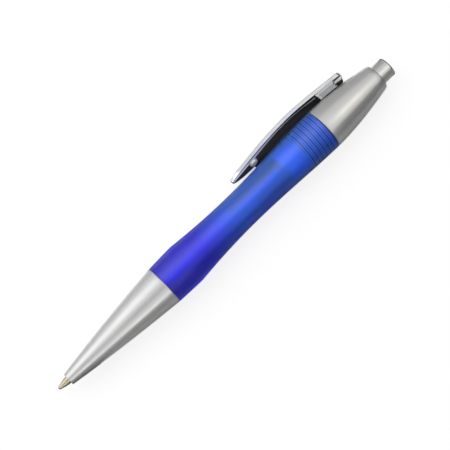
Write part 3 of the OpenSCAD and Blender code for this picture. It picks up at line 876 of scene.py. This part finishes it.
down = calc("SUBTRACT", AXIS_Z / MM, place["Z"])
side = calc("SUBTRACT", place["Y"], AXIS_Y / MM)
angle = calc("SUBTRACT", calc("ARCTAN2", down, side), ROLL)
along = calc("SUBTRACT", place["X"], THREAD - OVERALL / 2)
wound = calc("SUBTRACT", calc("DIVIDE", along, PITCH), calc("DIVIDE", angle, 2 * math.pi))
apart = calc("PINGPONG", calc("SUBTRACT", wound, entry.outputs["Phase"]), 0.5)
half, blur = entry.outputs["Half width"], entry.outputs["Blur"]
groove = ramp(
    thread_mask, apart, calc("SUBTRACT", half, blur), calc("ADD", half, blur), 1.0, 0.0)
inside = calc(
    "MULTIPLY", calc("GREATER_THAN", along, 0.0), calc("LESS_THAN", along, UPPER - THREAD))
fill(exit_, Mask=calc("MULTIPLY", groove, inside))
print("group:", thread_mask.name)

# %% [markdown]
# ## Colour and bump
# A real finish is rarely one colour or quite smooth. `two_tone` mixes two colours by a
# mask, and `bump` tilts the light as if the surface rose, without any new faces.

# %% Colour and bump
def bump(tree, shader, height, strength, distance):
    """Raises the surface by a height, for the shader's normal."""
    node = add(tree, "ShaderNodeBump")
    fill(node, Strength=strength, Distance=distance * MM, Height=height)
    fill(shader, Normal=node.outputs["Normal"])


def two_tone(tree, factor, first, second):
    """Mixes two colours by a factor that changes over the surface."""
    node = add(tree, "ShaderNodeMix", data_type="RGBA")
    fill(node, Factor=factor, A=first, B=second)
    return node.outputs["Result"]


print("bump and two_tone ready")

# %% [markdown]
# ## Satin silver
# Silver paint over plastic: fine metal flakes in a thin lacquer. It is metallic but
# never sharp, so its highlights are broad bands along the pen. A plain grey with some
# roughness comes close; the grain adds the faint sparkle of the flakes, and the
# handling the soft patches that fingers leave.

# %% Satin silver finish
SILVER = (0.60, 0.60, 0.595)


def silver_paint(name, least, most, flake):
    """Silver paint: its roughness runs from least to most, its grey varies by flake."""
    finish, tree, shader, point = start_finish(name)
    grain = use(tree, fine_grain, point, Grains_per_mm=4.0, Softness=0.55)
    handle(tree, shader, point, 9.0, least, most)
    light = [min(1.0, c * (1 + flake)) for c in SILVER]
    dark = [c * (1 - flake) for c in SILVER]
    tone = two_tone(tree, grain.outputs["Height"], dark, light)
    fill(shader, Base_Color=tone, Metallic=1.0)
    bump(tree, shader, grain.outputs["Height"], 0.2, 0.01)
    return finish


satin_silver = silver_paint("satin silver", 0.28, 0.33, 0.04)
dress(nose, satin_silver)
dress(head, satin_silver)
button_silver = silver_paint("button silver", 0.26, 0.32, 0.03)
dress(button, button_silver)
print("silver:", satin_silver.name, button_silver.name)

# %% [markdown]
# ## Frosted blue
# A dyed, see-through plastic with a fine frosted skin. Clear glass would show the inside
# sharply, and plain plastic would hide it. A rough transmission melts what lies behind the
# wall into a soft glow. The turns of the thread are painted on the wall as dark lines of
# painted shade, so that they stay readable. The dye sits in the volume, so it looks deeper
# where the wall is thick, round the knee.

# %% Frosted blue finish
def blue_plastic():
    """Dyed plastic that scatters what is behind it, with the thread's turns painted faint on
    its wall as lines of painted shade.
    """
    finish, tree, shader, point = start_finish("frosted blue")
    handle(tree, shader, point, 8.0, 0.31, 0.36)
    station = parts(tree, point)["X"]
    wall = ramp(tree, station, KNEE - OVERALL / 2 + 4, WAIST - OVERALL / 2)
    plain = two_tone(tree, wall, (0.05, 0.05, 0.98), (0.06, 0.47, 1.0))
    # painted shade: dark lines along the thread's roots, and fainter ones along its crests,
    # laid over the barrel's own colour
    root = use(tree, thread_mask, point, Half_width=0.08, Blur=0.06)
    crest = use(tree, thread_mask, point, Half_width=0.07, Blur=0.07, Phase=0.65)
    faint = math_node(tree, "MULTIPLY", crest.outputs["Mask"], 0.4)
    lines = math_node(tree, "MAXIMUM", root.outputs["Mask"], faint)
    tone = two_tone(tree, lines, plain, (0.005, 0.015, 0.14))
    fill(shader, Base_Color=tone, IOR=1.49, Transmission_Weight=0.93, Specular_IOR_Level=0.2)
    dye = add(tree, "ShaderNodeVolumeAbsorption")
    fill(dye, Color=(0.03, 0.10, 0.975), Density=400)
    output = next(node for node in tree.nodes if node.type == "OUTPUT_MATERIAL")
    fill(output, Volume=dye.outputs["Volume"])
    return finish


dress(barrel, blue_plastic())
print("barrel finish done")

# %% [markdown]
# ## Bright plating
# The clip is plated and polished, so it is a mirror with soft edges. A perfect mirror looks
# like a computer drawing; a trace of film in the roughness makes it real. The foot is the
# same plating painted darker, as painted shade under the plate. The pip mirrors more of the
# blue barrel than it does in the photo, so its plating is duller and tinted warm to offset
# that blue.

# %% Bright plating finish
def bright_plating(name, tint_and_shade, least, most, metallic):
    """Polished plating with its colour scaled by a factor, which for the foot is painted
    shade, with a thin film that dulls it in patches.
    """
    finish, tree, shader, point = start_finish(name)
    film = handle(tree, shader, point, 4.0, least, most)
    clean = tuple(t * v for t, v in zip(tint_and_shade, (0.88, 0.89, 0.90)))
    filmed = tuple(t * v for t, v in zip(tint_and_shade, (0.82, 0.83, 0.85)))
    fill(shader, Base_Color=two_tone(tree, film, filmed, clean), Metallic=metallic)
    grain = use(tree, fine_grain, point, Grains_per_mm=0.25, Softness=0.3)
    bump(tree, shader, grain.outputs["Height"], 0.1, 0.02)
    return finish


dress(clip, bright_plating("bright plating", (0.92, 0.92, 0.92), 0.07, 0.14, 1.0))
# painted shade: the foot is the clip's own plating made darker
dress(foot, bright_plating("foot plating painted darker", (0.6, 0.6, 0.6), 0.16, 0.24, 1.0))
# the pip's warm colour offsets the blue it mirrors from the barrel
dress(pip, bright_plating("warm pip plating", (1.0, 0.95, 0.76), 0.32, 0.40, 0.4))
print("plated:", [piece.name for piece in (clip, foot, pip)])

# %% [markdown]
# ## Nickel silver, steel and hard metal
# The point is turned from nickel silver, a warm, slightly yellow metal, and keeps the
# fine rings of the lathe. The ball is a hard grey metal with a film of ink on it, and
# the spring is drawn wire. The rings could be cut into the mesh, but they are far finer
# than its faces, so a noise that changes only along the pen stands for them.

# %% Turned metals
def turned_metal(name, dark, light, least, most, rings_per_mm, depth):
    """Metal with fine rings along the pen, so many in a millimetre and so deep."""
    finish, tree, shader, point = start_finish(name)
    rings = add(tree, "ShaderNodeTexNoise", noise_dimensions="1D")
    fill(rings, W=parts(tree, point)["X"], Scale=rings_per_mm, Detail=2)
    handle(tree, shader, point, 1.5, least, most)
    tone = two_tone(tree, rings.outputs["Fac"], dark, light)
    fill(shader, Base_Color=tone, Metallic=1.0)
    bump(tree, shader, rings.outputs["Fac"], 0.3, depth)
    return finish


dress(point, turned_metal(
    "nickel silver", (0.40, 0.34, 0.24), (0.66, 0.58, 0.44), 0.10, 0.16, 14, 0.02))
dress(ball, turned_metal(
    "inked ball metal", (0.16, 0.16, 0.18), (0.30, 0.30, 0.33), 0.1, 0.2, 3, 0.005))
dress(spring, turned_metal(
    "spring steel", (0.50, 0.50, 0.52), (0.62, 0.62, 0.64), 0.2, 0.3, 4, 0.01))
print("metals done")

# %% [markdown]
# ## Plastics inside
# The sleeve, the cam, the plunger and the tube are plain moulded plastic. One function makes
# them all but the sleeve, which also needs the painted shade lines in the roots of its
# thread. The sleeve is tinted, so it glows with the barrel, and the tube is milky. The ink is
# a plain deep blue, since it is only seen through two walls. The cam and the plunger are
# never seen, so they keep their solids and only get a colour.

# %% Moulded plastics
def moulded(name, dark, light, least, most, through=0.0):
    """Moulded plastic between two colours; through is the share of light let through."""
    finish, tree, shader, point = start_finish(name)
    grain = use(tree, fine_grain, point, Grains_per_mm=3.0, Softness=0.5)
    film = handle(tree, shader, point, 5.0, least, most)
    fill(shader, Base_Color=two_tone(tree, film, dark, light), Transmission_Weight=through)
    bump(tree, shader, grain.outputs["Height"], 0.15, 0.02)
    return finish


def sleeve_plastic():
    """The sleeve's plastic, painted darker in the roots of its thread as painted shade."""
    finish, tree, shader, point = start_finish("sleeve plastic")
    root = use(tree, thread_mask, point, Half_width=0.17, Blur=0.02)
    handle(tree, shader, point, 5.0, 0.3, 0.42)
    # painted shade: the roots of the thread are darker than the rest of the sleeve
    tone = two_tone(tree, root.outputs["Mask"], (0.86, 0.90, 1.0), (0.30, 0.36, 0.80))
    fill(shader, Base_Color=tone, Transmission_Weight=0.1)
    return finish


dress(sleeve, sleeve_plastic())
dress(tube, moulded("milky tube", (0.86, 0.87, 0.90), (0.90, 0.91, 0.93), 0.25, 0.35, 0.15))
dress(ink, moulded("wet ink", (0.10, 0.20, 0.86), (0.12, 0.24, 0.92), 0.08, 0.15))
white_plastic = moulded("white plastic", (0.78, 0.78, 0.75), (0.84, 0.84, 0.81), 0.35, 0.5)
for node in ("plunger", "cam_rotor"):
    dress(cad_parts[node], white_plastic)
print("plastics done")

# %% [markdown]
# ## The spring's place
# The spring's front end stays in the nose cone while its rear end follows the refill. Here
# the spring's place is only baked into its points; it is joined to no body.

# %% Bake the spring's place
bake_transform(spring)

# %% [markdown]
# ## The camera
# The photograph looks down on the pen with a long lens, from over its point, so the
# tip is a little nearer than the button. The pen runs up to the right at 44 degrees.
# The place of the camera was fitted to the outline in the photo, and it is turned by a
# matrix instead of a tracking constraint, so that this lean is exact.

# %% Camera
LEAN = math.radians(-44.4777)
camera_data = bpy.data.cameras.new("camera")
camera_data.lens = 162.86
camera_data.sensor_width = 36
camera_data.clip_start = 0.01
camera_data.clip_end = 20
camera = put("camera", camera_data)
camera.location = (-0.066, -0.034121, 0.61696)
aim = Vector((0.0000328, -0.0019625, 0.00696))
ahead = (aim - camera.location).normalized()
right = Vector((math.cos(LEAN), math.sin(LEAN), 0))
right = (right - ahead * right.dot(ahead)).normalized()
up = right.cross(ahead)
camera.rotation_mode = "QUATERNION"
camera.rotation_quaternion = Matrix((right, up, -ahead)).transposed().to_quaternion()
bpy.context.scene.camera = camera
print("camera", tuple(round(v, 4) for v in camera.location))

# %% [markdown]
# ## The table
# A plain white sheet. The photo stands on pure white, as in a catalogue, so what the camera
# sees of the paper is lifted to white. Ambient occlusion finds the corner between paper and
# pen: there the lift is less, and the soft shadow stays. In the gap under the clip, where the
# photo is nearly black, the paper is painted dark as a painted shadow: GAP_ALONG and
# GAP_ACROSS are the middle and the reach of that patch. A cut-out picture on white would be
# simpler, but the pen would float.

# %% White table
GAP_ALONG, GAP_ACROSS = (40 * MM, 20 * MM), (7 * MM, 5.5 * MM)
TABLE = 3.0


def mix_shaders(tree, share, first, second):
    """Mixes two shaders, the second one by its share."""
    mix = add(tree, "ShaderNodeMixShader")
    for socket, value in zip(mix.inputs, (share, first.outputs[0], second.outputs[0])):
        feed(socket, value)
    return mix.outputs[0]


def seen_rays(tree):
    """1 for the rays of the camera and of reflections; and the light path itself."""
    path = add(tree, "ShaderNodeLightPath")
    camera_ray, glossy_ray = path.outputs["Is Camera Ray"], path.outputs["Is Glossy Ray"]
    return math_node(tree, "MAXIMUM", camera_ray, glossy_ray), path


def white_table():
    """White paper that the camera sees lifted to white, except close to the pen, with a
    painted shadow in the gap under the clip.
    """
    finish, tree, output = bare_finish("white table")
    corner = add(tree, "ShaderNodeAmbientOcclusion", samples=24)
    fill(corner, Distance=10 * MM)
    soft = ramp(tree, corner.outputs["AO"], 0.0, 0.5, 0.4, 1.0)
    hard = ramp(tree, corner.outputs["AO"], 0.34, 0.5, 1.0, 0.0)
    where = add(tree, "ShaderNodeTexCoord")
    place = parts(tree, where.outputs["Object"])
    under_clip = math_node(
        tree, "MULTIPLY", math_node(tree, "COMPARE", place["X"], *GAP_ALONG),
        math_node(tree, "COMPARE", place["Y"], *GAP_ACROSS))
    # painted shadow: in the gap under the clip the paper turns near black and loses its lift
    shade = math_node(tree, "MULTIPLY", under_clip, hard)
    paper = add(tree, "ShaderNodeBsdfDiffuse")
    fill(paper, Color=two_tone(tree, shade, (0.92, 0.92, 0.92), (0.05, 0.055, 0.08)))
    lift = math_node(tree, "MULTIPLY", seen_rays(tree)[0], soft)
    lift = math_node(tree, "MULTIPLY", lift, math_node(tree, "SUBTRACT", 1.0, shade))
    share = math_node(tree, "MULTIPLY", lift, 0.85)
    glow = add(tree, "ShaderNodeEmission")
    fill(output, Surface=mix_shaders(tree, share, paper, glow))
    return finish


def flat_sheet(name, corners):
    """A sheet with four corners; its front is where they run anticlockwise."""
    mesh = bpy.data.meshes.new(name)
    mesh.from_pydata(corners, [], [(0, 1, 2, 3)])
    return put(name, mesh)


table = flat_sheet(
    "table", [(-TABLE, -TABLE, 0), (TABLE, -TABLE, 0), (TABLE, TABLE, 0), (-TABLE, TABLE, 0)])
dress(table, white_table())
print("table:", 2 * TABLE, "m square")

# %% [markdown]
# ## Room light and lamps
# The room is white for the camera, for reflections and through the barrel, and gives
# a gentle fill everywhere else. An environment picture would need a file, so the light
# path tells the rays apart instead. Large soft lamps draw the broad bands along the
# silver. The window only fills, so it isn't mirrored.

# %% Room
ROOM_FILL = 0.12
world = bpy.data.worlds.new("white room")
world.use_nodes = True
bpy.context.scene.world = world
tree = world.node_tree
tree.nodes.clear()
output = add(tree, "ShaderNodeOutputWorld")
room = add(tree, "ShaderNodeBackground")
seen, path = seen_rays(tree)
bright = math_node(tree, "MAXIMUM", seen, path.outputs["Is Transmission Ray"])
level = ramp(tree, bright, 0.0, 1.0, ROOM_FILL, 1.0, kind="LINEAR")
fill(room, Color=(1, 1, 1), Strength=level)
fill(output, Surface=room.outputs[0])
print("room fill:", ROOM_FILL)

# %% Lamps
def soft_lamp(name, place, target, width, height, power, colour):
    """A rectangular soft lamp that points at a target."""
    data = bpy.data.lights.new(name, "AREA")
    data.shape = "RECTANGLE"
    data.size = width
    data.size_y = height
    data.energy = power
    data.color = colour
    lamp = put(name, data)
    lamp.location = place
    away = Vector(place) - Vector(target)
    lamp.rotation_mode = "QUATERNION"
    lamp.rotation_quaternion = away.to_track_quat("Z", "Y")
    lamp.visible_camera = False
    return lamp


soft_lamp("key", (-0.40, 0.54, 0.60), (-0.05, 0, 0), 0.9, 0.60, 1.12, (0.94, 0.97, 1.0))
soft_lamp("top", (0.42, -0.08, 0.85), (0.05, 0, 0), 0.34, 0.19, 0.24, (1.0, 0.88, 0.66))
soft_lamp("rim", (-0.33, -0.5, 0.56), (-0.05, 0, 0), 0.8, 0.1, 0.26, (1, 1, 1))
window = soft_lamp("window", (0.0, 0.60, 0.90), (0, 0, 0), 2.4, 1.1, 25.0, (1, 1, 1))
window.visible_glossy = False
print("lamps:", len(bpy.data.lights))

# %% [markdown]
# ## Cards
# A mirror shows its surroundings, so a photographer sets cards round the pen. Dark ones lie
# on the table and stand beside it, where the metal should mirror something dark: the narrow
# strips draw the dark lines low on the silver. The strips that lie under the pen are also
# painted shadow, standing in for the pen's shade on the table in reflections and through the
# barrel. Lit ones hang above and behind and give the head and the clip their bright sides.
# Neither the camera nor the shadows see them, and their backs let rays through. Painting such
# bands on the metal would look wrong from any other side.

# %% Cards
X, Y, Z = range(3)


def card(name, grey, low, high, first, lit=False):
    """A card between two opposite corners, seen from its front only.

    Its second corner lies from low along the axis first, which sets where it faces."""
    second = [high[k] if k == first else low[k] for k in range(3)]
    fourth = [low[k] if k == first else high[k] for k in range(3)]
    sheet = flat_sheet(name, [low, second, high, fourth])
    finish, tree, output = bare_finish(name)
    paper = add(tree, "ShaderNodeEmission" if lit else "ShaderNodeBsdfDiffuse")
    fill(paper, Color=(grey, grey, grey))
    through = add(tree, "ShaderNodeBsdfTransparent")
    facing = add(tree, "ShaderNodeNewGeometry")
    fill(output, Surface=mix_shaders(tree, facing.outputs["Backfacing"], paper, through))
    dress(sheet, finish)
    sheet.visible_camera = False
    sheet.visible_shadow = False


card("near_card", 0.34, (-0.9, -0.50, 0.0004), (0.9, -0.011, 0.0004), X)
# painted shadow: the front, back and knee strips lie under the pen and stand in for its shade
# on the table
card("dark_strip_front", 0.04, (-0.026, -0.011, 0.0004), (0.038, -0.0052, 0.0004), X)
card("dark_strip_back", 0.04, (0.004, 0.0012, 0.0004), (0.062, 0.0095, 0.0004), X)
card("dark_strip_knee", 0.04, (-0.026, 0.0036, 0.0004), (0.004, 0.0110, 0.0004), X)
card("dark_strip_tip", 0.16, (-0.100, -0.080, 0.0006), (-0.056, -0.0036, 0.0006), X)
card("dark_strip_end", 0.05, (0.0715, -0.013, 0.0006), (0.14, 0.014, 0.0006), X)
card("side_card", 0.36, (-0.9, -0.45, 0.0), (0.08, -0.45, 0.30), Z)
card("tall_card", 0.28, (0.08, -0.45, 0.0), (0.9, -0.45, 0.52), Z)
card("far_card", 0.60, (-0.9, 0.014, 0.0004), (0.04, 0.5, 0.0004), X)
card("corner_card", 0.42, (0.04, 0.014, 0.0004), (0.9, 0.5, 0.0004), X)
card("ceiling_card", 0.66, (-0.9, -0.35, 0.95), (0.05, 0.12, 0.95), Y, lit=True)
card("wall_low", 0.56, (0.04, 0.6, 0.0), (1.2, 0.6, 0.42), X, lit=True)
card("wall_high", 0.86, (0.04, 0.6, 0.42), (1.2, 0.6, 1.2), X, lit=True)
card("clip_card", 0.76, (-0.028, 0.075, 0.035), (0.034, 0.075, 0.115), X, lit=True)
card("end_card", 0.10, (0.55, -0.5, 0.0), (0.55, 0.5, 0.35), Z)

# %% [markdown]
# ## Picture settings
# Colours are shown as they are, without a film look, and nothing is blurred.

# %% Colours
bpy.context.scene.view_settings.view_transform = "Standard"
